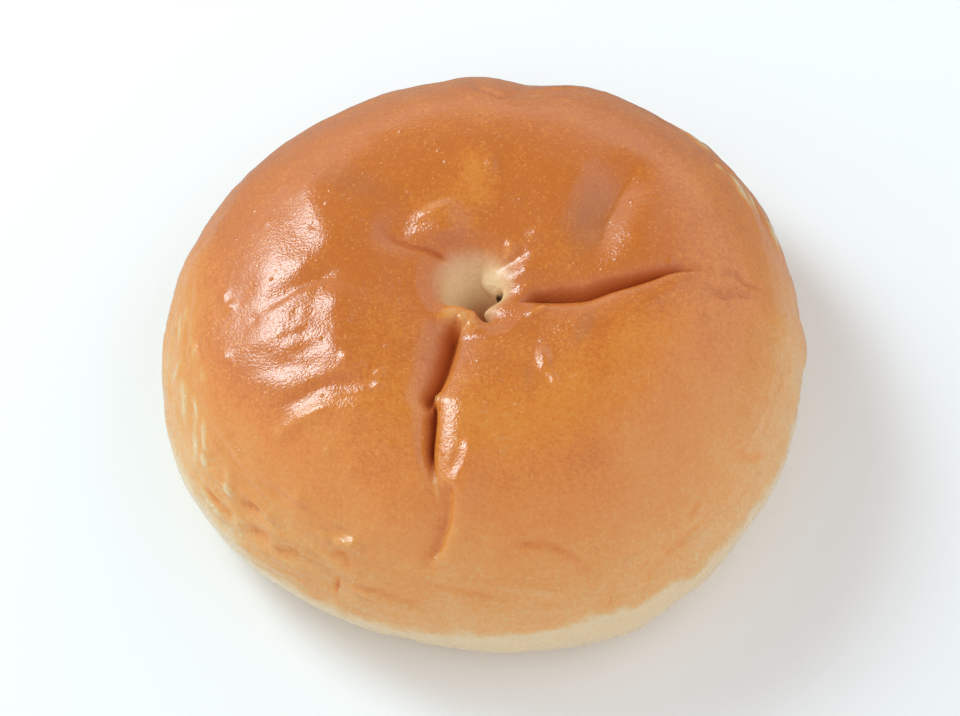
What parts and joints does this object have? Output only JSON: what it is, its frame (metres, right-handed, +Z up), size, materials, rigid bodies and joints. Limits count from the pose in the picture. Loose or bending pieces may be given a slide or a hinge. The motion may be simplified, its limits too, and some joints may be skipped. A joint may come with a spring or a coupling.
{
  "type": "red bean bun",
  "caption": "Round, flattened sweet bun with a glazed brown top, a deep dimple in the middle and folds running out from it, and a flat base.",
  "frame": {"origin": "middle of the flat base", "axes": "+Z up through the bun, its shortest side; -Y towards the front, where the front fold runs; +X to the right, where the right fold runs"},
  "size_m": [0.1054, 0.105, 0.0367],
  "materials": {
    "crust": "satin"
  },
  "bodies": {
    "root": {"bun": "crust"}
  },
  "joints": []
}
